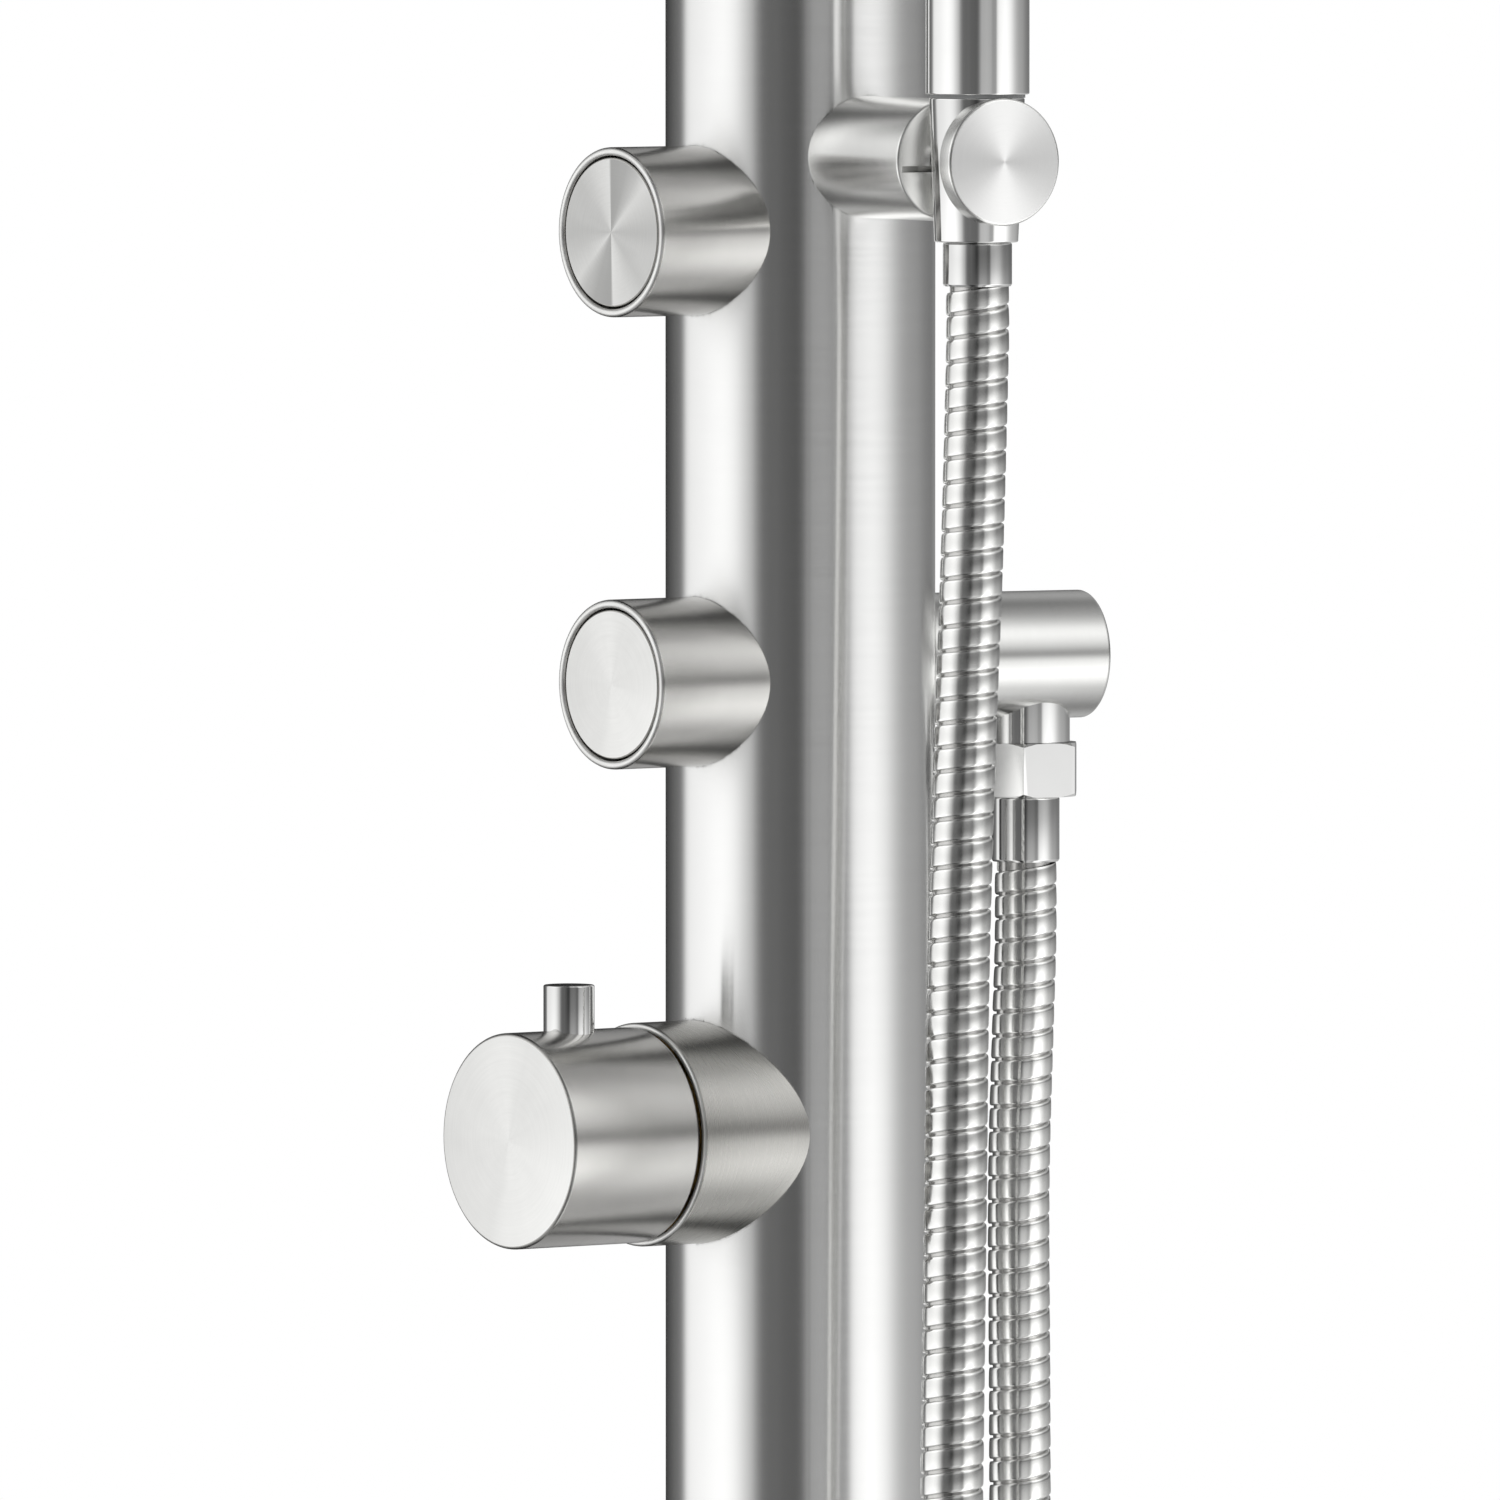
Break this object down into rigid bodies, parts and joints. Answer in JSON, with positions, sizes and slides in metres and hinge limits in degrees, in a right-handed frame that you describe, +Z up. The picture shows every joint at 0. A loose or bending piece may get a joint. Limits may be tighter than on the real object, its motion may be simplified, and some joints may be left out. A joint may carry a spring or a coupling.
{
  "type": "outdoor shower",
  "caption": "Free-standing brushed steel shower column with mixer knob, push buttons, tilting overhead head, and a stick handset on a hanging metal hose.",
  "frame": {"origin": "centre of the base plate's underside, on the floor, at the centre of the anchor holes", "axes": "+Z up the column; -Y towards the controls and the overhead head; +X to the right of someone looking along +Y"},
  "size_m": [0.24, 0.532, 2.203],
  "materials": {
    "brushed_steel": "fine brushed stainless steel",
    "polished_chrome": "polished chrome plate",
    "brass": "machined brass",
    "copper": "drawn copper pipe",
    "valve_plastic": "moulded valve plastic and ceramic",
    "seal_rubber": "moulded silicone rubber"
  },
  "bodies": {
    "frame": {"base_plate": "brushed_steel", "base_collar": "brushed_steel", "column": "brushed_steel", "column_cap": "brushed_steel", "mixer_sleeve": "brushed_steel", "hand_button_barrel": "brushed_steel", "head_button_barrel": "brushed_steel", "head_arm": "brushed_steel", "holder_arm": "brushed_steel", "outlet_barrel": "brushed_steel", "base_screws": "polished_chrome", "hand_button_spring": "polished_chrome", "head_button_spring": "polished_chrome", "ball_stem": "polished_chrome", "holder_bolt": "polished_chrome", "outlet_nipple": "polished_chrome", "hose_nut": "polished_chrome", "lower_ferrule": "polished_chrome", "handset_hose": "polished_chrome", "hot_inlet": "brass", "cold_inlet": "brass", "mixer_body": "brass", "mixer_ring_nut": "brass", "hand_valve_body": "brass", "head_valve_body": "brass", "arm_elbow": "brass", "outlet_fitting": "brass", "hot_pipe": "copper", "cold_pipe": "copper", "mixed_water_pipe": "copper", "link_pipe": "copper", "riser_pipe": "copper", "arm_pipe": "copper", "mixer_cartridge": "valve_plastic", "hand_valve_cartridge": "valve_plastic", "head_valve_cartridge": "valve_plastic", "lower_washer": "seal_rubber"},
    "mixer_handle": {"mixer_spindle": "brass", "mixer_knob": "brushed_steel", "mixer_lever": "polished_chrome"},
    "hand_push": {"hand_button": "brushed_steel"},
    "head_push": {"head_button": "brushed_steel"},
    "holder": {"holder_socket": "polished_chrome", "holder_disc": "brushed_steel"},
    "handset": {"upper_ferrule": "polished_chrome", "upper_washer": "seal_rubber", "cone_nut": "polished_chrome", "handset_stem": "polished_chrome", "handset_cap": "polished_chrome", "spray_plate": "brushed_steel", "spray_nozzles": "seal_rubber"},
    "seat_ring": {"ball_seat": "valve_plastic"},
    "shower_head": {"ball_nut": "polished_chrome", "head_shell": "brushed_steel", "head_face": "brushed_steel", "head_nozzles": "seal_rubber"}
  },
  "joints": [
    {"name": "mixer_turn", "type": "hinge", "parent": "frame", "child": "mixer_handle", "pos_m": [0, -0.06, 1.05], "axis": [0, -1, 0], "range_deg": [0, 110]},
    {"name": "hand_button_push", "type": "slide", "parent": "frame", "child": "hand_push", "axis": [0, 1, 0], "range_m": [0, 0.0035], "stiffness_N_per_m": 1500, "springref_m": -0.004, "deforming": ["hand_button_spring"]},
    {"name": "head_button_push", "type": "slide", "parent": "frame", "child": "head_push", "axis": [0, 1, 0], "range_m": [0, 0.0035], "stiffness_N_per_m": 1500, "springref_m": -0.004, "deforming": ["head_button_spring"]},
    {"name": "holder_swivel", "type": "hinge", "parent": "frame", "child": "holder", "pos_m": [0.06568, -0.0104, 1.2665], "axis": [0.9877, -0.1564, 0], "range_deg": [-20, 20], "deforming": ["handset_hose"]},
    {"name": "handset_lift", "type": "slide", "parent": "holder", "child": "handset", "axis": [0, 0, 1], "range_m": [0, 0.05], "deforming": ["handset_hose"]},
    {"name": "head_tilt_side", "type": "hinge", "parent": "frame", "child": "seat_ring", "pos_m": [0, -0.312, 2.116], "axis": [0, 1, 0], "range_deg": [-14, 14]},
    {"name": "head_tilt_front", "type": "hinge", "parent": "seat_ring", "child": "shower_head", "pos_m": [0, -0.312, 2.116], "axis": [1, 0, 0], "range_deg": [-14, 14]}
  ]
}
